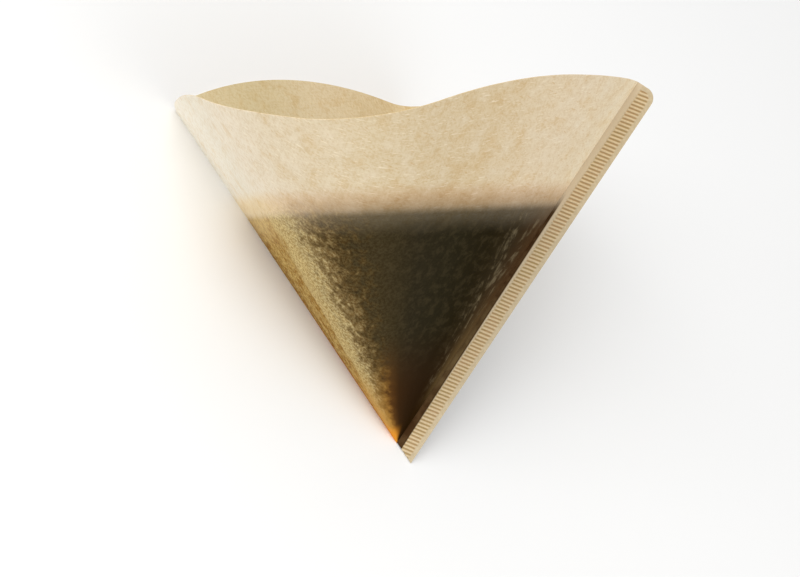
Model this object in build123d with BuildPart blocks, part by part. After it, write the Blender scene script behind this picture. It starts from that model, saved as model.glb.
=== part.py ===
from build123d import *
import os
from math import ceil, cos, radians, sin, sqrt, tan

# A cone filter made of one sheet of paper, folded along one side and crimped together along the other.
# It lies as it comes to rest: the fold and the flat of the back wall are on the floor, the tip points
# to -Y and the mouth opens to +Y. All lengths are in millimetres and all angles in degrees.

# Sheet
paper = 0.25  # thickness of one ply
rim_radius = 125.0  # arc that the mouth is cut to
rim_rise = 10.5  # centre of that arc, up the outer edge of the flange from its lower tip
rim_inset = 3.5  # the same centre, inwards from that edge
fold_corner_radius = 3.0
flange_corner_radius = 3.5

# Opened cone: the sizes across it are taken in a section this far up its axis from the tip
gauge_height = 100.0
axis_tilt = 31.0  # rise of the axis above the floor

# Back wall in that section: flat on the floor from the fold, then round the heel and up to the seam
fold_x = -41.5
back_flat_x = 51.0
heel_run = 9.0  # from the end of that flat to the heel
heel_rise = 4.1  # from the line of the floor to the heel
seam_x = 40.0
seam_y = 45.5

# Front wall in that section: flat from the fold, then round the side and the shoulder to the top and the seam
front_flat_x = -62.5
front_flat_y = -15.0
side_x = -67.0
side_y = 26.0
shoulder_x = -38.5
shoulder_y = 50.5
top_x = 5.0
top_y = 53.0

# Crimped flange along the seam
flange_width = 7.0
crimp_margin = 1.4  # plain paper outside the crimps
crimp_length = 3.6
crimp_pitch = 1.2
crimp_depth = 0.4  # from the top of a crest to the bottom of the groove beside it
crimp_slant = 12.0  # lean of the crimps from square to the edge

# Room that the cutting shapes keep beyond the sheet
trim_clearance = 0.1
cutting_margin = 10.0

# Axis of the cone, from its tip, which is the origin until the filter is put on the floor
tilt = radians(axis_tilt)
axis_direction = Vector(0, cos(tilt), sin(tilt))
floor_y = -gauge_height * tan(tilt)

# The points that each wall passes on its way from the fold to the seam
fold_point = (fold_x, floor_y)
seam_point = (seam_x, seam_y)
heel_point = (back_flat_x + heel_run, floor_y + heel_rise)
back_line = [fold_point, (back_flat_x, floor_y), heel_point, seam_point]
front_bends = [(side_x, side_y), (shoulder_x, shoulder_y), (top_x, top_y)]
front_line = [fold_point, (front_flat_x, front_flat_y), *front_bends, seam_point]


def section(height):
    """Plane square to the axis, at a height above the tip."""
    return Plane(axis_direction * height, x_dir=(1, 0, 0), z_dir=-axis_direction)


def direction(point):
    """Direction from the tip through a point of the gauge section."""
    return section(gauge_height).from_local_coords(Vector(*point)).normalized()


# Plane of the flange: it holds the fold and the seam, with x inwards from the flange's outer edge and
# y up that edge from its lower tip, where the edge meets the line of the fold
fold_direction = direction(fold_point)
seam_direction = direction(seam_point)
seam_angle = radians(fold_direction.get_angle(seam_direction))
flange_tip = fold_direction * (-flange_width / sin(seam_angle))
inward = (fold_direction - seam_direction * cos(seam_angle)).normalized()
flange_plane = Plane(flange_tip, x_dir=inward, z_dir=inward.cross(seam_direction))
flange_length = rim_rise + sqrt(rim_radius**2 - rim_inset**2)
rim_centre = flange_plane.from_local_coords(Vector(rim_inset, rim_rise))
rim_plane = Plane(rim_centre, x_dir=inward, z_dir=flange_plane.z_dir)

# Flat-sided cone through the points of both walls, from the tip to past the rim
reach = flange_length + cutting_margin
with BuildSketch(section(reach)) as mouth:
    with BuildLine():
        Polyline(*back_line, *reversed(front_line[1:-1]), close=True)
    make_face()
    scale(by=reach / gauge_height)


def round_bends(line):
    """Bends of one wall: each is part of a round cone that runs on smoothly from the paper before it."""
    bends = []
    directions = [direction(point) for point in line]
    turn_axis = directions[0].cross(directions[1])
    for start, end in zip(directions[1:], directions[2:]):
        turn_axis = turn_axis.cross(start).cross(end - start).normalized()
        hand = 1 if turn_axis.dot(start) > 0 else -1
        lean = abs(turn_axis.dot(start))
        rise = reach * abs(turn_axis.dot((start + end).normalized()))
        width = rise * sqrt(1 - lean**2) / lean
        with BuildPart(Plane((0, 0, 0), z_dir=turn_axis * hand)) as bend:
            Cone(0, width, rise, align=(Align.CENTER, Align.CENTER, Align.MIN))
            split(bisect_by=Plane((0, 0, 0), z_dir=end.cross(start) * hand), keep=Keep.TOP)
        bends.append(bend.part)
    return bends


# Flat outline of the folded sheet, seen square to the flange, with its two rounded corners
fan_tip = (0, -trim_clearance / sin(seam_angle))
fan_side = reach / cos(seam_angle / 2)
with BuildPart() as fan:
    with BuildSketch(flange_plane) as fan_outline:
        with BuildLine():
            Polyline(fan_tip, (0, fan_side), (fan_side * sin(seam_angle), fan_side * cos(seam_angle)), close=True)
        make_face()
        with Locations((rim_inset, rim_rise)):
            Circle(rim_radius + trim_clearance, mode=Mode.INTERSECT)
        fillet(fan_outline.vertices().sort_by(Axis.Y)[-1], flange_corner_radius)
        fillet(fan_outline.vertices().sort_by(Axis.X)[-1], fold_corner_radius)
    extrude(amount=rim_radius, both=True)


def cut_to_sheet():
    """Cut what is being built to the arc of the rim and to the rounded corners of the sheet."""
    with Locations(rim_plane):
        Sphere(rim_radius, mode=Mode.INTERSECT)
    add(fan.part, mode=Mode.INTERSECT)


# Wall: the inside is the same cone moved up its axis, which leaves one ply of paper
bends = round_bends(back_line) + round_bends(front_line)
with BuildPart() as wall:
    loft(sections=[mouth.sketch.face(), Vertex(0, 0, 0)])
    add(bends)
    inside = wall.part.moved(Location(axis_direction * (paper / sin(tilt))))
    add(inside, mode=Mode.SUBTRACT)
    cut_to_sheet()

# Flange: two plies with plain strips on both sides of a corrugated band
crimp_end = crimp_margin + crimp_length
seam_overlap = paper / 2
crimp_plane = Plane(flange_plane.from_local_coords(Vector(crimp_margin, 0)), x_dir=seam_direction, z_dir=inward)
crimp_run = inward * cos(radians(crimp_slant)) - seam_direction * sin(radians(crimp_slant))
crimp_count = ceil((flange_length + 2 * cutting_margin) / crimp_pitch)
crest_line = []
for step in range(2 * crimp_count + 1):
    swing = crimp_depth / 2 if step % 2 else -crimp_depth / 2
    crest_line.append((step * crimp_pitch / 2 - cutting_margin, paper + swing))
groove_line = [(along, height - 2 * paper) for along, height in reversed(crest_line)]
with BuildPart() as flange:
    with BuildSketch(flange_plane):
        for start, end in ((-cutting_margin, crimp_margin), (crimp_end, flange_width + seam_overlap)):
            with Locations((start, -cutting_margin)):
                Rectangle(end - start, flange_length + 2 * cutting_margin, align=(Align.MIN, Align.MIN))
    extrude(amount=paper, both=True)
    with BuildSketch(crimp_plane):
        with BuildLine():
            Polyline(*crest_line, *groove_line, close=True)
        make_face()
    extrude(amount=crimp_length / cos(radians(crimp_slant)), dir=crimp_run)
    cut_to_sheet()
    split(bisect_by=Plane.XY, keep=Keep.TOP)

with BuildPart() as opened:
    add(wall.part)
    add(flange.part)

# On the floor, with the origin under the middle of the filter
box = opened.part.bounding_box()
with BuildPart() as paper_filter:
    add(opened.part.moved(Location((-box.center().X, -box.center().Y, -box.min.Z))))
paper_filter.part.label = "paper_filter"

os.makedirs("parts", exist_ok=True)
export_step(paper_filter.part, "parts/paper_filter.step")
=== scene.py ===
# %% [markdown]
# # Paper coffee filter
# This lesson dresses one cone filter of brown paper: a sheet that is folded along one side and crimped
# together along the other. The CAD model gives its true size and place, so it is loaded first.

# %% Load the frame
import bpy
import bmesh
from math import atan2, ceil, cos, degrees, pi, radians, sin, sqrt, tan
from mathutils import Matrix, Vector, noise


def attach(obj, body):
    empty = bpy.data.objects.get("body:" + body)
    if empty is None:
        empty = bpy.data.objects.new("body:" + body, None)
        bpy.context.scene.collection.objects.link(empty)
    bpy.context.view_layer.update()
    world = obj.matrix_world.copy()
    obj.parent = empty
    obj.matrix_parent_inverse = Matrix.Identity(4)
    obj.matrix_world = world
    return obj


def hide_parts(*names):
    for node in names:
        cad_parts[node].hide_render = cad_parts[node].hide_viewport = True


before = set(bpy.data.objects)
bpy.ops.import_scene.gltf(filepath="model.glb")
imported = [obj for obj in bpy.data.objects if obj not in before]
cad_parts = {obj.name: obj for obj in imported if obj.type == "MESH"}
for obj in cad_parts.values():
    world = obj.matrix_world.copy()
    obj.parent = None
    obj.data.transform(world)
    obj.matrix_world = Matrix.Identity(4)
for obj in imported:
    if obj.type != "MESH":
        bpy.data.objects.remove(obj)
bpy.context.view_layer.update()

# %% [markdown]
# ## Sizes
# The scene is in metres and has the same sizes as the solid: points of the wall in a section 100 mm up the
# axis from the tip, the arc of the rim and the flange. From the tip, each point of the section is just a
# direction, because every line of a cone runs through the tip.

# %% Sizes and directions
MM = 0.001
TIP = Vector((-3.365, -59.385, 0.0)) * MM
PAPER = 0.25 * MM
AXIS_TILT = radians(31.0)
GAUGE_HEIGHT = 100.0
RIM_RADIUS = 125.0 * MM
RIM_RISE = 10.5 * MM
RIM_INSET = 3.5 * MM
FOLD_CORNER = 3.0 * MM
FLANGE_CORNER = 3.5 * MM
FLANGE_WIDTH = 7.0 * MM

AXIS = Vector((0, cos(AXIS_TILT), sin(AXIS_TILT)))
ACROSS = Vector((1, 0, 0))
UPWARD = ACROSS.cross(AXIS)
FLOOR_Y = -GAUGE_HEIGHT * tan(AXIS_TILT)


def direction(x, y):
    """Direction from the tip through a point of the gauge section."""
    return (AXIS * GAUGE_HEIGHT + ACROSS * x + UPWARD * y).normalized()


FOLD = direction(-41.5, FLOOR_Y)
SEAM = direction(40.0, 45.5)
BACK_WALL = [FOLD, direction(51.0, FLOOR_Y), direction(60.0, FLOOR_Y + 4.1), SEAM]
FRONT_WALL = [FOLD, direction(-62.5, -15.0), direction(-67.0, 26.0), direction(-38.5, 50.5),
              direction(5.0, 53.0), SEAM]

SEAM_ANGLE = FOLD.angle(SEAM)
INWARD = (FOLD - SEAM * cos(SEAM_ANGLE)).normalized()
FLANGE_TIP = TIP - FOLD * (FLANGE_WIDTH / sin(SEAM_ANGLE))
RIM_CENTRE = FLANGE_TIP + SEAM * RIM_RISE + INWARD * RIM_INSET
print("fold to seam:", round(degrees(SEAM_ANGLE), 2), "degrees")

# %% [markdown]
# ## Camera, floor and light
# The photograph looks at the crimped side from in front. Its camera was found by fitting the rim, the fold
# and the edge of the flange, and the filter lies on its back wall here, so the camera is rolled over. A
# matrix made of the view's own right, up and back directions turns it exactly. The floor is one large pale
# face, and three square area lights and a white world give the soft light of a studio.

# %% Camera
EYE = Vector((-452.016, -172.607, 458.980)) * MM
TARGET = Vector((-6.349, -18.762, 27.043)) * MM
VIEW_UP = Vector((0.077154, 0.911400, 0.404224))
LENS = 94.942

camera_data = bpy.data.cameras.new("camera")
camera_data.lens = LENS
camera_data.sensor_width = 36.0
camera_data.sensor_fit = "HORIZONTAL"
camera_data.clip_end = 20.0
camera = bpy.data.objects.new("camera", camera_data)
bpy.context.scene.collection.objects.link(camera)
back = (EYE - TARGET).normalized()
right = VIEW_UP.cross(back).normalized()
up = back.cross(right)
camera.matrix_world = Matrix.Translation(EYE) @ Matrix((right, up, back)).transposed().to_4x4()
bpy.context.scene.camera = camera
print("camera distance in mm:", round((EYE - TARGET).length / MM))


# %% Floor
FLOOR_SIZE = 4.0


def plain_material(name, colour, roughness):
    """One even finish, for the floor only."""
    material = bpy.data.materials.new(name)
    material.use_nodes = True
    shader = material.node_tree.nodes["Principled BSDF"]
    shader.inputs["Base Color"].default_value = (*colour, 1.0)
    shader.inputs["Roughness"].default_value = roughness
    return material


def new_object(name, mesh_maker):
    """A new mesh object at the origin, filled from a bmesh."""
    mesh = bpy.data.meshes.new(name)
    mesh_maker.to_mesh(mesh)
    mesh_maker.free()
    piece = bpy.data.objects.new(name, mesh)
    bpy.context.scene.collection.objects.link(piece)
    return piece


ground = bmesh.new()
bmesh.ops.create_grid(ground, x_segments=1, y_segments=1, size=FLOOR_SIZE)
floor = new_object("floor", ground)
floor.data.materials.append(plain_material("pale_floor", (0.9, 0.9, 0.895), 0.9))
print("floor:", len(floor.data.polygons), "face")

# %% Soft lights
LIT_SPOT = Vector((0, 0, 40.0)) * MM
SKY_STRENGTH = 0.64


def soft_light(name, place, size, power):
    """A square area light that looks at the filter."""
    light = bpy.data.lights.new(name, "AREA")
    light.size = size
    light.energy = power
    lamp = bpy.data.objects.new(name, light)
    lamp.location = place
    lamp.rotation_euler = (LIT_SPOT - lamp.location).to_track_quat("-Z", "Y").to_euler()
    bpy.context.scene.collection.objects.link(lamp)
    return lamp


soft_light("key_light", Vector((-0.75, 0.25, 1.05)), 0.9, 9.5)
soft_light("fill_light", Vector((0.3, -1.1, 0.8)), 1.2, 3.8)
soft_light("low_light", Vector((-1.2, 0.35, 0.22)), 0.4, 2.4)
world = bpy.data.worlds.new("studio")
world.use_nodes = True
world.node_tree.nodes["Background"].inputs["Color"].default_value = (1.0, 1.0, 1.0, 1.0)
world.node_tree.nodes["Background"].inputs["Strength"].default_value = SKY_STRENGTH
bpy.context.scene.world = world
bpy.context.scene.view_settings.view_transform = "Standard"

# %% [markdown]
# ## The sheet
# A sheet of paper can only bend one way at a time, so an opened cone is a chain of flats and round bends
# that all run through the tip. Each of them is one **spin**: the line of the fold is spun about the flat's
# normal, then about the axis of each bend, which is found so that the bend runs on smoothly. The angle that
# a line has moved in the flat sheet is kept on the way, because it makes a UV map without any stretch.

# %% Spin the two walls
ROWS = 132
COLUMN_ANGLE = radians(0.9)
CORNER_ANGLE = radians(3.0)
CORNER_COLUMNS = 12


def wall_turns(points):
    """(axis, start, sweep, angle in the flat sheet) of each flat and bend along one wall."""
    normal = points[0].cross(points[1]).normalized()
    flat_angle = points[0].angle(points[1]) - CORNER_ANGLE
    corner = Matrix.Rotation(CORNER_ANGLE, 3, normal) @ points[0]
    turns = [(normal, points[0], CORNER_ANGLE, CORNER_ANGLE), (normal, corner, flat_angle, flat_angle)]
    for start, end in zip(points[1:], points[2:]):
        normal = normal.cross(start).cross(end - start).normalized()
        spoke = start - normal * normal.dot(start)
        end_spoke = end - normal * normal.dot(end)
        sweep = atan2(normal.dot(spoke.cross(end_spoke)), spoke.dot(end_spoke)) % (2 * pi)
        turns.append((normal, start, sweep, sweep * spoke.length))
    return turns


def turned_by(place, axis, start):
    """Angle about an axis through the tip from a start direction to a place."""
    arm = place - TIP
    arm = arm - axis * axis.dot(arm)
    spoke = start - axis * axis.dot(start)
    return atan2(axis.dot(spoke.cross(arm)), spoke.dot(arm))


def spin_wall(maker, fold_line, points, hand):
    """Spin one wall from the line of the fold to the seam and note each vertex's angle in the flat sheet."""
    edge_line = list(fold_line)
    angle_before = 0.0
    for axis, start, sweep, flat in wall_turns(points):
        steps = CORNER_COLUMNS if flat == CORNER_ANGLE else ceil(flat / COLUMN_ANGLE)
        known = set(maker.verts)
        spun = bmesh.ops.spin(maker, geom=edge_line, cent=TIP, axis=axis, angle=sweep, steps=steps)
        for vert in set(maker.verts) - known:
            share = turned_by(vert.co, axis, start) / sweep
            vert[sheet_angle] = hand * (angle_before + share * flat)
        edge_line = spun["geom_last"]
        angle_before += flat
    print("wall of", round(degrees(angle_before), 2), "degrees in the flat sheet")


sheet = bmesh.new()
sheet_angle = sheet.verts.layers.float.new("sheet_angle")
rim_share = sheet.verts.layers.float.new("rim_share")
inner_side = sheet.verts.layers.float.new("inner_side")
fold_ends = [sheet.verts.new(TIP), sheet.verts.new(TIP + FOLD * RIM_RADIUS)]
fold_edge = sheet.edges.new(fold_ends)
bmesh.ops.subdivide_edges(sheet, edges=[fold_edge], cuts=ROWS - 1)
fold_line = list(sheet.verts) + list(sheet.edges)
spin_wall(sheet, fold_line, FRONT_WALL, 1)
spin_wall(sheet, fold_line, BACK_WALL, -1)
print("both walls:", len(sheet.verts), "vertices,", len(sheet.faces), "faces")

# %% [markdown]
# ## The rim
# The mouth was cut as one arc while the sheet lay flat and closed, so on the opened cone the rim is where a
# ball about the arc's centre meets the paper. Every line of the sheet is stretched or shortened to that
# ball, which keeps the rows of the mesh in step. The corner at the fold is rounded, so the lines beside the
# fold end on a small circle instead.

# %% Ends of the lines
SIDEWAYS = (SEAM - FOLD * cos(SEAM_ANGLE)).normalized()
RIM_SIDE = (RIM_CENTRE - TIP).dot(SIDEWAYS)
CORNER_REACH = sqrt((RIM_RADIUS - FOLD_CORNER) ** 2 - (RIM_SIDE - FOLD_CORNER) ** 2)
CORNER_CENTRE = RIM_CENTRE + FOLD * CORNER_REACH + SIDEWAYS * (FOLD_CORNER - RIM_SIDE)


def to_rim(start, line):
    """Length of a line of the sheet from its start near the tip to the rim."""
    offset = start - RIM_CENTRE
    length = sqrt(offset.dot(line) ** 2 - offset.length_squared + RIM_RADIUS**2) - offset.dot(line)
    from_corner = start - CORNER_CENTRE
    corner_start = Vector((from_corner.dot(FOLD), from_corner.dot(SIDEWAYS)))
    corner_line = Vector((line.dot(FOLD), line.dot(SIDEWAYS)))
    end = corner_start + corner_line * length
    if end.x > 0 and end.y < 0 and end.length > FOLD_CORNER:
        square = corner_line.length_squared
        half = corner_start.dot(corner_line)
        inside = max(half**2 - square * (corner_start.length_squared - FOLD_CORNER**2), 0.0)
        length = (sqrt(inside) - half) / square
    return length


print("fold to the rim in mm:", round(to_rim(TIP, FOLD) / MM, 2))

# %% Cut the rim
MERGE_GAP = 2e-6
MIDDLE = TIP + AXIS * (80.0 * MM)

sheet_map = sheet.loops.layers.uv.new("sheet")
for vert in sheet.verts:
    arm = vert.co - TIP
    vert[rim_share] = arm.length / RIM_RADIUS
    if vert[rim_share] > 0:
        line = arm.normalized()
        vert.co = TIP + line * vert[rim_share] * to_rim(TIP, line)
for face in sheet.faces:
    for loop in face.loops:
        reach = (loop.vert.co - TIP).length
        angle = loop.vert[sheet_angle]
        loop[sheet_map].uv = (reach * sin(angle), reach * cos(angle))
bmesh.ops.remove_doubles(sheet, verts=sheet.verts, dist=MERGE_GAP)
bmesh.ops.recalc_face_normals(sheet, faces=sheet.faces)
sheet.normal_update()
outward = sum(face.normal.dot(face.calc_center_median() - MIDDLE) for face in sheet.faces)
if outward < 0:
    bmesh.ops.reverse_faces(sheet, faces=sheet.faces)
    sheet.normal_update()
print("cone:", len(sheet.verts), "vertices, outward" if outward > 0 else "vertices, turned outward")

# %% [markdown]
# ## Paper that has been wet
# Wet paper dries a little cockled. Smooth noise on the flat sheet moves each vertex along its normal, by
# less than the thickness of a card, and it fades out at the rim, at the seam and where the paper lies on
# the floor.

# %% Cockle the paper
COCKLE = 0.22 * MM
COCKLE_SCALE = 75.0
CALM_HEIGHT = 4.0 * MM
CALM_ANGLE = radians(8.0)
CALM_REACH = 20.0 * MM
CALM_RIM = 0.85
RIM_HOLD = 0.7


def calm(amount):
    """Smooth step from 0 to 1."""
    amount = min(max(amount, 0.0), 1.0)
    return amount * amount * (3 - 2 * amount)


moves = []
for vert in sheet.verts:
    reach = (vert.co - TIP).length
    angle = vert[sheet_angle]
    place = Vector((reach * sin(angle), reach * cos(angle), 0)) * COCKLE_SCALE
    lift = noise.noise(place) + 0.5 * noise.noise(place * 2.3)
    to_seam = (vert.co - TIP).angle(SEAM, 0.0)
    strength = calm(vert.co.z / CALM_HEIGHT) * calm(to_seam / CALM_ANGLE) * calm(reach / CALM_REACH)
    strength *= 1 - RIM_HOLD * calm((vert[rim_share] - CALM_RIM) / (1 - CALM_RIM))
    moves.append(vert.normal * lift * strength * COCKLE)
for vert, move in zip(sheet.verts, moves):
    vert.co += move
print("largest cockle in mm:", round(max(move.length for move in moves) / MM, 3))

# %% [markdown]
# ## Two faces of one sheet
# The inside of the paper is a copy of the outside, moved up the axis by the same step as in the solid and
# cut to the same ball. A Solidify modifier would fold over itself at the sharp tip, and a moved copy can't.
# A bridge between the two rims closes the edge of the paper.

# %% Inside face and edge
INNER_TIP = TIP + AXIS * (PAPER / sin(AXIS_TILT))


def close_edge(maker, flat_map):
    """Bridge the two open edges of a sheet, carry its map over the edge and shade it smooth."""
    open_edges = [edge for edge in maker.edges if edge.is_boundary]
    bridge = set(bmesh.ops.bridge_loops(maker, edges=open_edges)["faces"])
    for face in bridge:
        for loop in face.loops:
            known = [other for other in loop.vert.link_loops if other.face not in bridge]
            loop[flat_map].uv = known[0][flat_map].uv
    for face in maker.faces:
        face.smooth = True
    return len(bridge)


outer_faces = list(sheet.faces)
copied = bmesh.ops.duplicate(sheet, geom=list(sheet.verts) + list(sheet.edges) + outer_faces)
inner_faces = [part for part in copied["geom"] if isinstance(part, bmesh.types.BMFace)]
inner_verts = [part for part in copied["geom"] if isinstance(part, bmesh.types.BMVert)]
for vert in inner_verts:
    vert[inner_side] = 1.0
    arm = vert.co - TIP
    if arm.length > 0:
        line = arm.normalized()
        vert.co += line * vert[rim_share] * (to_rim(INNER_TIP, line) - to_rim(TIP, line))
bmesh.ops.translate(sheet, verts=inner_verts, vec=INNER_TIP - TIP)
bmesh.ops.reverse_faces(sheet, faces=inner_faces)
rim_faces = close_edge(sheet, sheet_map)
paper_wall = new_object("paper_wall", sheet)
paper_wall.data.set_sharp_from_angle(angle=radians(40))
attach(paper_wall, "root")
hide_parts("paper_filter")
print("paper wall:", len(paper_wall.data.polygons), "faces, rim of", rim_faces, "faces")

# %% [markdown]
# ## The crimped flange
# Along the seam the two plies are pressed between toothed rollers, with no glue. The strip starts as a grid
# in its own plane, sheared so that its rows follow the slant of the crimps. The teeth are a wave along the
# strip that fades at both ends of each tooth, and a little noise keeps them from looking machined. Then the
# strip is turned into place and cut with planes: one along the fold and a fan of them round the top corner.

# %% Sizes of the flange
FLANGE_LENGTH = RIM_RISE + sqrt(RIM_RADIUS**2 - RIM_INSET**2)
CRIMP_MARGIN = 1.4 * MM
CRIMP_LENGTH = 3.6 * MM
CRIMP_PITCH = 1.2 * MM
CRIMP_DEPTH = 0.4 * MM
CRIMP_SLANT = radians(12.0)
CRIMP_FADE = 0.45 * MM
CRIMP_UNEVEN = 0.25 * MM
CRIMP_WANDER = 0.12 * MM
WANDER_SCALE = 180.0
STRIP_SPARE = 4.0 * MM
SEAM_OVERLAP = PAPER / 2
ROWS_PER_CRIMP = 10
STRIP_COLUMNS = 26
CORNER_CUTS = 9

STRIP_NORMAL = INWARD.cross(SEAM)
CORNER_IN = FLANGE_CORNER - RIM_INSET
CORNER_UP = sqrt((RIM_RADIUS - FLANGE_CORNER) ** 2 - CORNER_IN**2)
RIM_SPOT = Vector((RIM_INSET, RIM_RISE))
CORNER_SPOT = RIM_SPOT + Vector((CORNER_IN, CORNER_UP))


def edge_gap(across, along):
    """Distance in the flat strip from its outer edge, its rounded corner or the rim."""
    spot = Vector((across, along))
    from_corner = spot - CORNER_SPOT
    if from_corner.x < 0 and from_corner.y > 0:
        return FLANGE_CORNER - from_corner.length
    return min(across, RIM_RADIUS - (spot - RIM_SPOT).length)


print("flange in mm:", round(FLANGE_WIDTH / MM, 1), "by", round(FLANGE_LENGTH / MM, 1))

# %% Strip with its crimps
strip_width = FLANGE_WIDTH + SEAM_OVERLAP
strip_length = FLANGE_LENGTH + 2 * STRIP_SPARE
strip = bmesh.new()
strip_map = strip.loops.layers.uv.new("sheet")
crest = strip.verts.layers.float.new("crest")
strip_rows = round(strip_length / CRIMP_PITCH * ROWS_PER_CRIMP)
bmesh.ops.create_grid(strip, x_segments=STRIP_COLUMNS, y_segments=strip_rows, size=0.5)
bmesh.ops.scale(strip, verts=strip.verts, vec=(strip_width, strip_length, 1))
bmesh.ops.translate(strip, verts=strip.verts, vec=(strip_width / 2, strip_length / 2 - STRIP_SPARE, 0))
shear = Matrix.Identity(4)
shear[1][0] = -tan(CRIMP_SLANT)
bmesh.ops.transform(strip, matrix=shear, verts=strip.verts)
for vert in strip.verts:
    across, along = vert.co.x, vert.co.y
    wander = noise.noise(Vector((across * WANDER_SCALE, along * WANDER_SCALE, 3.0)))
    phase = (along + across * tan(CRIMP_SLANT) + CRIMP_WANDER * wander) / CRIMP_PITCH
    uneven = CRIMP_UNEVEN * noise.noise(Vector((0.0, phase, 7.0)))
    from_outer = calm((edge_gap(across, along) - CRIMP_MARGIN + uneven) / CRIMP_FADE + 0.5)
    from_inner = calm((CRIMP_MARGIN + CRIMP_LENGTH - across + uneven) / CRIMP_FADE + 0.5)
    vert[crest] = sin(2 * pi * phase) * from_outer * from_inner
    vert.co.z = CRIMP_DEPTH / 2 * vert[crest]
for face in strip.faces:
    for loop in face.loops:
        loop[strip_map].uv = loop.vert.co.xy
print("strip:", len(strip.faces), "faces before it is cut")

# %% Put the strip in place and cut it
CUT_GAP = 1e-7

place_strip = Matrix((INWARD, SEAM, STRIP_NORMAL)).transposed().to_4x4()
place_strip.translation = FLANGE_TIP
bmesh.ops.transform(strip, matrix=place_strip, verts=strip.verts)


def cut_strip(point, outward_normal):
    """Cut the strip with a plane and drop what is outside it."""
    whole = list(strip.verts) + list(strip.edges) + list(strip.faces)
    bmesh.ops.bisect_plane(strip, geom=whole, dist=CUT_GAP, plane_co=point, plane_no=outward_normal,
                           clear_outer=True)


strip_half = PAPER + CRIMP_DEPTH / 2
off_floor = strip_half * abs(STRIP_NORMAL.z) / SIDEWAYS.z
cut_strip(FLANGE_TIP + SIDEWAYS * off_floor, -SIDEWAYS)
round_centre = RIM_CENTRE + INWARD * CORNER_IN + SEAM * CORNER_UP
top_angle = atan2(CORNER_UP, CORNER_IN)
for cut in range(CORNER_CUTS + 1):
    turn = top_angle + (pi - top_angle) * cut / CORNER_CUTS
    facing = INWARD * cos(turn) + SEAM * sin(turn)
    cut_strip(round_centre + facing * FLANGE_CORNER, facing)
seam_in = strip_width - RIM_INSET
inner_end = RIM_CENTRE + INWARD * seam_in + SEAM * sqrt(RIM_RADIUS**2 - seam_in**2)
cut_strip(inner_end, (inner_end - RIM_CENTRE).normalized())
print("strip:", len(strip.faces), "faces after it is cut")

# %% [markdown]
# ## Two plies
# The real flange is two plies pressed into each other, so its two faces run side by side: a crest on one is
# a groove on the other. Solidify moves each vertex along its normal and would close up the narrow grooves.
# A copy moved straight through the strip keeps them open, and the crest attribute of the copy is turned
# round, so that the paint, with its painted shade in the grooves and painted highlight on the crests, is
# right on both faces.

# %% Two plies of the flange
copied = bmesh.ops.duplicate(strip, geom=list(strip.verts) + list(strip.edges) + list(strip.faces))
under_verts = [part for part in copied["geom"] if isinstance(part, bmesh.types.BMVert)]
under_faces = [part for part in copied["geom"] if isinstance(part, bmesh.types.BMFace)]
for vert in under_verts:
    vert[crest] = -vert[crest]
bmesh.ops.translate(strip, verts=strip.verts, vec=STRIP_NORMAL * PAPER)
bmesh.ops.translate(strip, verts=under_verts, vec=STRIP_NORMAL * (-2 * PAPER))
bmesh.ops.reverse_faces(strip, faces=under_faces)
close_edge(strip, strip_map)
heights = [(vert.co - FLANGE_TIP).dot(STRIP_NORMAL) for vert in strip.verts]
print("flange thickness with crimps in mm:", round((max(heights) - min(heights)) / MM, 3))
crimped_flange = new_object("crimped_flange", strip)
crimped_flange.data.set_sharp_from_angle(angle=radians(50))
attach(crimped_flange, "root")
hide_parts("paper_filter")
print("flange:", len(crimped_flange.data.polygons), "faces")

# %% [markdown]
# ## Node helpers
# A material is a net of small nodes. These helpers each add one node, feed it with numbers or with other
# nodes' outputs, and hand its output on, so that a finish can be written as a few plain lines.

# %% Numbers and colours
def paint(red, green, blue):
    """A colour given as screen values from 0 to 255, as the linear light that the shader works in."""
    linear = [((part / 255 + 0.055) / 1.055) ** 2.4 if part > 10 else part / 255 / 12.92
              for part in (red, green, blue)]
    return (*linear, 1.0)


def wire(net, kind, feeds, **settings):
    """Add a node, set its options and feed its inputs."""
    node = net.nodes.new(kind)
    for name, value in settings.items():
        setattr(node, name, value)
    for name, feed in feeds.items():
        if isinstance(feed, bpy.types.NodeSocket):
            net.links.new(feed, node.inputs[name])
        else:
            node.inputs[name].default_value = feed
    return node


def maths(net, operation, first, second=0.0, third=0.0):
    """One sum on numbers."""
    return wire(net, "ShaderNodeMath", {0: first, 1: second, 2: third}, operation=operation).outputs[0]


def times(net, first, *others):
    """Product of two or more numbers."""
    for other in others:
        first = maths(net, "MULTIPLY", first, other)
    return first


def fade(net, value, low, high, to_low=0.0, to_high=1.0):
    """Smooth step of a value between two limits."""
    feeds = {"Value": value, "From Min": low, "From Max": high, "To Min": to_low, "To Max": to_high}
    return wire(net, "ShaderNodeMapRange", feeds, interpolation_type="SMOOTHSTEP").outputs["Result"]


def between(net, value, low, high, soft):
    """1 between two limits, with soft ends."""
    return times(net, fade(net, value, low - soft, low + soft), fade(net, value, high + soft, high - soft))


def blend(net, share, first, second, mode="MIX"):
    """Two colours mixed by a share."""
    feeds = {0: share, 6: first, 7: second}
    return wire(net, "ShaderNodeMix", feeds, data_type="RGBA", blend_type=mode).outputs[2]


def tinted(net, share, colour, tint):
    """A colour darkened by a tint, as much as the share says."""
    return blend(net, share, colour, tint, "MULTIPLY")


print("screen value 128 as light:", round(paint(128, 128, 128)[0], 3))


# %% Patterns and materials
def cloud(net, place, scale, detail=3.0, roughness=0.55, distortion=0.0):
    """Soft noise with a mean of about a half."""
    feeds = {"Vector": place, "Scale": scale, "Detail": detail, "Roughness": roughness,
             "Distortion": distortion}
    return wire(net, "ShaderNodeTexNoise", feeds).outputs["Fac"]


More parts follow.
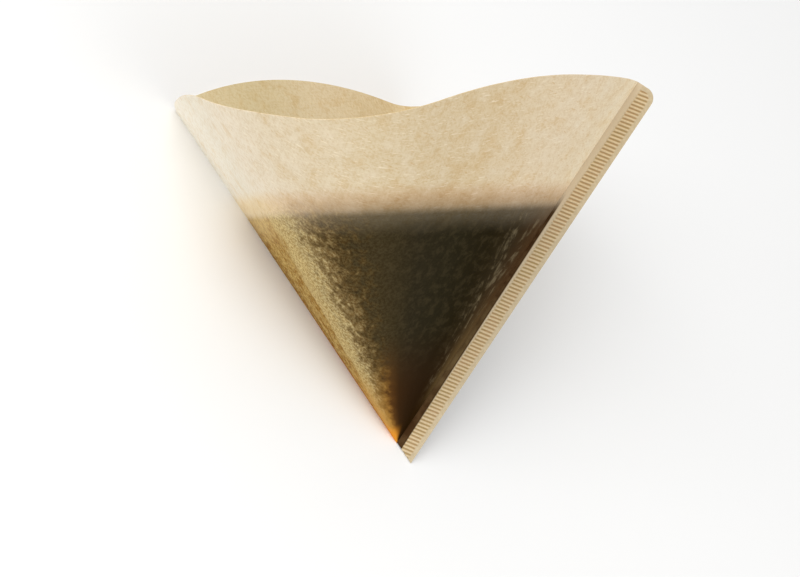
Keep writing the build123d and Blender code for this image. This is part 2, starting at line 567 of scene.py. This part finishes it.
def colour_line(net, value, stops):
    """Colours along a value from 0 to 1."""
    node = wire(net, "ShaderNodeValToRGB", {"Fac": value})
    band = node.color_ramp
    while len(band.elements) < len(stops):
        band.elements.new(1.0)
    for element, (place, colour) in zip(band.elements, stops):
        element.position = place
        element.color = colour
    return node.outputs["Color"]


def stretched(net, place, turn, size):
    """The sheet's coordinates turned and stretched, so that noise on them turns into fibres."""
    feeds = {"Vector": place, "Rotation": (0, 0, turn), "Scale": size}
    return wire(net, "ShaderNodeMapping", feeds, vector_type="TEXTURE").outputs[0]


def new_finish(name):
    """A new material with its net, its shader and the two coordinates that the patterns read."""
    material = bpy.data.materials.new(name)
    material.use_nodes = True
    net = material.node_tree
    shader = net.nodes["Principled BSDF"]
    sheet_place = wire(net, "ShaderNodeUVMap", {}, uv_map="sheet").outputs["UV"]
    object_place = wire(net, "ShaderNodeTexCoord", {}).outputs["Object"]
    return material, net, shader, sheet_place, object_place


PAPER_SPECULAR = 0.015
BUMP_STRENGTH = 0.25
BUMP_HEIGHT = 0.12 * MM


def give_relief(net, shader, height):
    """The dull surface of paper, with a low relief of its fibres."""
    shader.inputs["Specular IOR Level"].default_value = PAPER_SPECULAR
    bump = wire(net, "ShaderNodeBump", {"Height": height, "Strength": BUMP_STRENGTH, "Distance": BUMP_HEIGHT})
    net.links.new(bump.outputs["Normal"], shader.inputs["Normal"])


print("relief of the fibres in mm:", round(BUMP_HEIGHT / MM, 2))

# %% [markdown]
# ## Fibres
# Filter paper is a felt of long pale and brown fibres, most of them along the way the paper ran through the
# machine. Noise that is stretched along one direction looks like a bundle of fibres, and a few such bundles
# turned against each other make the felt.

# %% Fibre pattern
FIBRE_TURNS = (1.0, 1.7, 2.4, 0.3)
FIBRE_SIZE = (3.2 * MM, 0.6 * MM, 1.0)


def fibres(net, place):
    """Felt of fibres: near 0.5 on average, pale fibres above and brown ones below."""
    total = None
    for turn in FIBRE_TURNS:
        bundle = cloud(net, stretched(net, place, turn, FIBRE_SIZE), 1.0, 2.0, 0.6, 0.3)
        total = bundle if total is None else maths(net, "ADD", total, bundle)
    return times(net, total, 1 / len(FIBRE_TURNS))


def flecks(net, place, turn, size, low, high):
    """Single fibres that stand out from the felt: 1 on a fibre and 0 between them."""
    return fade(net, cloud(net, stretched(net, place, turn, size), 1.0, 1.0, 0.5, 0.4), low, high)


print("bundles of fibres:", len(FIBRE_TURNS))

# %% [markdown]
# ## Stained paper of the wall
# The filter hung upright while it was wet, so its stain ends at a level plane. The height above that plane
# is a dot product of the place and the direction that was up then. Across the sheet the stain depends on
# the angle from the fold, which the UV map gives. Reading both from coordinates keeps the stain in its place
# from every side, with no picture to wrap.

# %% Where the stain is
STAIN_UP = Vector((0.0238, 0.9148, 0.4032))
STAIN_LEVEL = 18.2 * MM
FULL_ANGLE = radians(101.4)


def stain_height(net, object_place):
    """Height above the level of the stain, in metres."""
    height = wire(net, "ShaderNodeVectorMath", {0: object_place, 1: STAIN_UP}, operation="DOT_PRODUCT")
    return maths(net, "SUBTRACT", height.outputs["Value"], STAIN_LEVEL)


def sheet_polar(net, sheet_place):
    """Angle from the fold as a share of the whole wall, and distance from the tip."""
    split = wire(net, "ShaderNodeSeparateXYZ", {"Vector": sheet_place})
    angle = maths(net, "ABSOLUTE", maths(net, "ARCTAN2", split.outputs["X"], split.outputs["Y"]))
    reach = wire(net, "ShaderNodeVectorMath", {0: sheet_place}, operation="LENGTH").outputs["Value"]
    return maths(net, "DIVIDE", angle, FULL_ANGLE), reach


print("level of the stain in mm:", round(STAIN_LEVEL / MM, 1))


# %% Dry paper
def dry_paper(net, sheet_place, across, felt, mottle):
    """Beige paper with soft blotches and single fibres, palest beside the fold: its tone across the wall is
    partly its own and partly painted light.
    """
    # Partly painted light: the colour line is palest beside the fold and brighter again at the seam, as the
    # light fell.
    dry = colour_line(net, across, [
        (0.0, paint(247, 242, 231)), (0.15, paint(232, 226, 212)), (0.28, paint(227, 216, 197)),
        (0.37, paint(219, 205, 180)), (0.52, paint(213, 196, 164)), (0.70, paint(214, 194, 159)),
        (0.85, paint(225, 208, 180)), (0.93, paint(230, 213, 183)), (1.0, paint(246, 233, 206))])
    dry = tinted(net, fade(net, felt, 0.56, 0.40, 0.0, 0.8), dry, paint(241, 233, 219))
    dry = blend(net, fade(net, mottle, 0.50, 0.72, 0.0, 0.30), dry, paint(231, 220, 199))
    dry = tinted(net, fade(net, mottle, 0.50, 0.30, 0.0, 0.5), dry, paint(243, 230, 206))
    brown = flecks(net, sheet_place, 1.4, (3.0 * MM, 0.5 * MM, 1.0), 0.64, 0.74)
    dry = tinted(net, times(net, brown, 0.5), dry, paint(238, 218, 190))
    pale = flecks(net, sheet_place, 1.9, (3.4 * MM, 0.45 * MM, 1.0), 0.62, 0.72)
    return blend(net, times(net, pale, 0.45), dry, paint(242, 230, 206))


print("dry paper:", dry_paper.__doc__)

# %% [markdown]
# ## Wet paper
# The stain isn't one colour. From the fold to the seam it is golden, then a pale band that is partly a
# painted highlight, then almost black and at last red-brown, so a colour line along the angle gives the main
# tones. Noise could be laid over the colour, but noise that is added to the angle frays the borders between
# the tones, as soaked paper does. The tip, the fold and the seam each get a tone of their own on top.

# %% Tones from fold to seam
def wet_tones(net, across, frayed, grain, blot):
    """Golden beside the fold, then a pale band that is partly a painted highlight, almost black in the middle
    and red-brown at the seam.
    """
    # Partly painted highlight: the pale band near 0.245 is lightest along the ridge of the crease.
    wet = colour_line(net, frayed, [
        (0.0, paint(186, 153, 87)), (0.09, paint(206, 180, 114)), (0.215, paint(190, 161, 97)),
        (0.245, paint(207, 187, 132)), (0.28, paint(201, 180, 126)), (0.33, paint(188, 171, 124)),
        (0.38, paint(134, 114, 75)), (0.44, paint(89, 73, 42)), (0.50, paint(66, 56, 34)),
        (0.60, paint(46, 40, 25)), (0.70, paint(39, 34, 18)), (0.80, paint(33, 26, 7)),
        (0.87, paint(45, 35, 15)), (0.93, paint(60, 43, 23)), (1.0, paint(82, 58, 35))])
    speckle = times(net, fade(net, across, 0.42, 0.60, 0.85, 0.35), fade(net, grain, 0.60, 0.40))
    wet = tinted(net, speckle, wet, paint(186, 166, 132))
    burnt = times(net, fade(net, blot, 0.56, 0.38), fade(net, frayed, 0.245, 0.215))
    wet = tinted(net, burnt, wet, paint(206, 179, 134))
    clouded = times(net, fade(net, blot, 0.44, 0.66), between(net, across, 0.46, 0.88, 0.06), 0.12)
    return blend(net, clouded, wet, paint(104, 90, 62))


print("wet tones:", wet_tones.__doc__)

# %% Amber towards the tip
def amber_tones(net, wet, across, frayed, reach):
    """The same tones in amber, blended in towards the tip and sooner in the dark part."""
    amber_share = maths(net, "ADD", frayed, fade(net, reach, 4.0 * MM, 16.0 * MM, -0.06, 0.0))
    amber = colour_line(net, amber_share, [
        (0.25, paint(198, 150, 74)), (0.38, paint(164, 122, 57)), (0.45, paint(126, 88, 38)),
        (0.50, paint(84, 54, 23)), (0.57, paint(56, 35, 14)), (0.68, paint(44, 27, 9)),
        (0.80, paint(37, 22, 5)), (1.0, paint(50, 32, 10))])
    amber_reach = maths(net, "ADD", reach, fade(net, across, 0.38, 0.54, 8.0 * MM, -8.0 * MM))
    return blend(net, fade(net, amber_reach, 42.0 * MM, 12.0 * MM), wet, amber)


print("amber tones:", amber_tones.__doc__)

# %% Streaks and olive beside the seam
def seam_tones(net, wet, across, reach, level, blot):
    """Grey streaks along the seam, and olive paper beside it lower down."""
    rows = wire(net, "ShaderNodeCombineXYZ", {"X": times(net, across, 34.0), "Y": reach}).outputs[0]
    lines = cloud(net, stretched(net, rows, 0.0, (1.0, 14.0 * MM, 1.0)), 1.0, 4.0, 0.65, 0.9)
    streak = times(net, fade(net, lines, 0.46, 0.64), between(net, across, 0.85, 0.97, 0.04),
                   fade(net, blot, 0.40, 0.62), fade(net, reach, 12.0 * MM, 30.0 * MM), 0.7)
    wet = blend(net, streak, wet, paint(116, 103, 78))
    olive = times(net, fade(net, across, 0.87, 0.98), fade(net, level, -20.0 * MM, -48.0 * MM, 0.0, 0.6),
                  fade(net, reach, 12.0 * MM, 24.0 * MM))
    return blend(net, olive, wet, paint(112, 92, 58))


print("seam tones:", seam_tones.__doc__)

# %% Amber fold and tip
def tip_tones(net, wet, across, reach, level):
    """An amber line along the lower fold, and a bright tip."""
    from_fold = times(net, across, FULL_ANGLE, reach)
    fold_share = times(net, fade(net, from_fold, 2.4 * MM, 0.4 * MM),
                       fade(net, level, -16.0 * MM, -50.0 * MM, 0.0, 0.7))
    wet = blend(net, fold_share, wet, paint(184, 112, 36))
    tip_share = times(net, fade(net, reach, 9.0 * MM, 3.0 * MM), fade(net, across, 0.75, 0.45))
    return blend(net, tip_share, wet, paint(226, 148, 46))


print("tip tones:", tip_tones.__doc__)

# %% Wet paper
def wet_paper(net, sheet_place, across, reach, level, grain, patches):
    """All tones of the stain, with frayed borders."""
    blot = cloud(net, sheet_place, 340.0, 4.0, 0.64, 0.3)
    shift = maths(net, "MULTIPLY_ADD", patches, 0.08, -0.04)
    shift = maths(net, "ADD", shift, maths(net, "MULTIPLY_ADD", blot, 0.28, -0.14))
    shift = maths(net, "ADD", shift, fade(net, level, -44.0 * MM, -4.0 * MM, -0.02, 0.01))
    frayed = maths(net, "MULTIPLY_ADD", shift, between(net, across, 0.31, 0.52, 0.06), across)
    ridge = times(net, between(net, across, 0.185, 0.275, 0.03), 0.22)
    frayed = maths(net, "MULTIPLY_ADD", maths(net, "SUBTRACT", patches, 0.5), ridge, frayed)
    wet = wet_tones(net, across, frayed, grain, blot)
    wet = amber_tones(net, wet, across, frayed, reach)
    wet = seam_tones(net, wet, across, reach, level, blot)
    return tip_tones(net, wet, across, reach, level)


print("wet paper:", wet_paper.__doc__)

# %% [markdown]
# ## Edge of the stain
# Paper draws water up a little way above its level, so the edge is a long soft rise with a sharper step in
# it. The share that comes out blends the dry and the wet paper and also smooths the surface a little where
# it is wet. The inside of the sheet is painted a darker, yellower tan as painted shade and painted light
# through the paper, and an attribute of the mesh tells the shader which side it is on, so that both sides
# share one material.

# %% Share of the stain
def soak_share(net, uneven, golden):
    """How far the stain has soaked in, from its height: sharper in the golden part than in the dark one."""
    drawn_up = fade(net, uneven, 7.0 * MM, -2.5 * MM)
    waterline = fade(net, uneven, 0.4 * MM, -2.6 * MM)
    steeped = maths(net, "MULTIPLY_ADD", fade(net, uneven, -0.5 * MM, -8.8 * MM), 0.145, 0.335)
    dark_soak = maths(net, "MULTIPLY_ADD", drawn_up, 0.52, times(net, waterline, steeped))
    gold_soak = maths(net, "MULTIPLY_ADD", drawn_up, 0.25, times(net, waterline, 0.75))
    return wire(net, "ShaderNodeMix", {0: golden, 2: dark_soak, 3: gold_soak}).outputs[0]


print("soak share:", soak_share.__doc__)

# %% Stained paper
DRY_ROUGHNESS = 0.92


def stained_paper():
    """Paper of the wall: dry and beige at the mouth, stained below."""
    material, net, shader, sheet_place, object_place = new_finish("stained_paper")
    inside = wire(net, "ShaderNodeAttribute", {}, attribute_name="inner_side").outputs["Fac"]
    felt = fibres(net, sheet_place)
    mottle = cloud(net, sheet_place, 160.0, 4.0, 0.6)
    grain = cloud(net, sheet_place, 1100.0, 3.0, 0.7)
    patches = cloud(net, sheet_place, 60.0, 4.0, 0.6, 0.4)
    across, reach = sheet_polar(net, sheet_place)
    level = stain_height(net, object_place)
    uneven = maths(net, "ADD", level, maths(net, "MULTIPLY_ADD", mottle, 1.2 * MM, -0.6 * MM))

    dry = dry_paper(net, sheet_place, across, felt, mottle)
    # Painted shade and painted light through the paper: the inside is tinted darker and yellower, most beside
    # the fold.
    inner_painted_shade = blend(net, fade(net, across, 0.14, 0.34), paint(234, 222, 190), paint(251, 244, 225))
    dry = tinted(net, inside, dry, inner_painted_shade)
    golden = fade(net, across, 0.37, 0.20)
    fringe = blend(net, golden, paint(255, 241, 230), paint(255, 243, 220))
    dry = tinted(net, between(net, uneven, -1.5 * MM, 4.5 * MM, 2.5 * MM), dry, fringe)
    wet = wet_paper(net, sheet_place, across, reach, level, grain, patches)
    pale_gold = times(net, fade(net, across, 0.30, 0.12), fade(net, uneven, -12.0 * MM, -2.5 * MM, 0.0, 0.5))
    wet = blend(net, pale_gold, wet, paint(216, 190, 140))
    soaked = soak_share(net, uneven, golden)
    net.links.new(blend(net, soaked, dry, wet), shader.inputs["Base Color"])

    gloss = fade(net, grain, 0.3, 0.7, 0.45, 0.62)
    wet_change = maths(net, "SUBTRACT", gloss, DRY_ROUGHNESS)
    roughness = maths(net, "MULTIPLY_ADD", soaked, wet_change, DRY_ROUGHNESS)
    net.links.new(roughness, shader.inputs["Roughness"])
    give_relief(net, shader, maths(net, "ADD", felt, times(net, grain, 0.4)))
    return material


paper_wall.data.materials.append(stained_paper())
print("stained paper:", len(paper_wall.data.materials[0].node_tree.nodes), "nodes")

# %% [markdown]
# ## Paper of the flange
# The crimps stay dry to the tip, because two pressed plies draw up little water. Their grooves are painted
# a darker tan as painted shade and their crests paler as painted highlight, and only the plain strip next to
# the wall takes the stain. Cavity shading could darken the grooves, but it depends on the mesh around each
# point. The mesh keeps the height of its crests as an attribute instead, so the painted shade and highlight
# follow every crest on both sides of the strip.

# %% Crimped paper
STAIN_START = 4.78 * MM
STAIN_SLOPE = 0.0145
CRIMP_END = CRIMP_MARGIN + CRIMP_LENGTH
FLANGE_ROUGHNESS = 0.9


def crimp_tones_and_painted_light(net, crest, across, felt, mottle):
    """Dry paper of the flange: painted highlight on the crests, painted shade in the grooves, and a plain
    strip on both sides.
    """
    plain = blend(net, fade(net, felt, 0.40, 0.60), paint(186, 169, 138), paint(198, 181, 150))
    # Painted shade in the grooves and painted highlight on the crests, both read from the crest attribute.
    groove_shade = blend(net, fade(net, mottle, 0.40, 0.60), paint(166, 140, 94), paint(172, 141, 100))
    crimped = blend(net, fade(net, crest, -0.05, -0.7), plain, groove_shade)
    crimped = blend(net, fade(net, crest, 0.1, 0.8, 0.0, 0.8), crimped, paint(216, 193, 153))
    return blend(net, fade(net, across, CRIMP_END, CRIMP_END + 0.6 * MM), crimped, paint(201, 183, 154))


def strip_tones(net, past_edge, along, level, mottle):
    """Stained paper beside the wall: brown, olive lower down, with a painted shadow line at its edge."""
    wet = blend(net, fade(net, mottle, 0.42, 0.58), paint(66, 44, 24), paint(82, 60, 37))
    olive = times(net, fade(net, level, -20.0 * MM, -44.0 * MM), fade(net, along, 14.0 * MM, 36.0 * MM),
                  fade(net, mottle, 0.40, 0.60, 0.45, 0.85))
    wet = blend(net, olive, wet, paint(106, 88, 58))
    # Painted shadow: a thin dark line at the inner end of the crimps.
    return blend(net, between(net, past_edge, 0.0, 0.4 * MM, 0.2 * MM), wet, paint(62, 42, 18))


def crimped_paper():
    """Paper of the flange: dry crimps and a stained strip beside the wall."""
    material, net, shader, sheet_place, object_place = new_finish("crimped_paper")
    crest = wire(net, "ShaderNodeAttribute", {}, attribute_name="crest").outputs["Fac"]
    felt = fibres(net, sheet_place)
    mottle = cloud(net, sheet_place, 160.0, 4.0, 0.6)
    strip_place = wire(net, "ShaderNodeSeparateXYZ", {"Vector": sheet_place})
    across, along = strip_place.outputs["X"], strip_place.outputs["Y"]
    level = stain_height(net, object_place)

    past_edge = maths(net, "SUBTRACT", across, maths(net, "MULTIPLY_ADD", along, STAIN_SLOPE, STAIN_START))
    soaked = times(net, fade(net, level, 3.0 * MM, -4.0 * MM), fade(net, past_edge, -0.15 * MM, 0.25 * MM))
    dry = crimp_tones_and_painted_light(net, crest, across, felt, mottle)
    wet = strip_tones(net, past_edge, along, level, mottle)
    net.links.new(blend(net, soaked, dry, wet), shader.inputs["Base Color"])
    shader.inputs["Roughness"].default_value = FLANGE_ROUGHNESS
    give_relief(net, shader, felt)
    return material


crimped_flange.data.materials.append(crimped_paper())
print("crimped paper:", len(crimped_flange.data.materials[0].node_tree.nodes), "nodes")

# %% [markdown]
# ## End
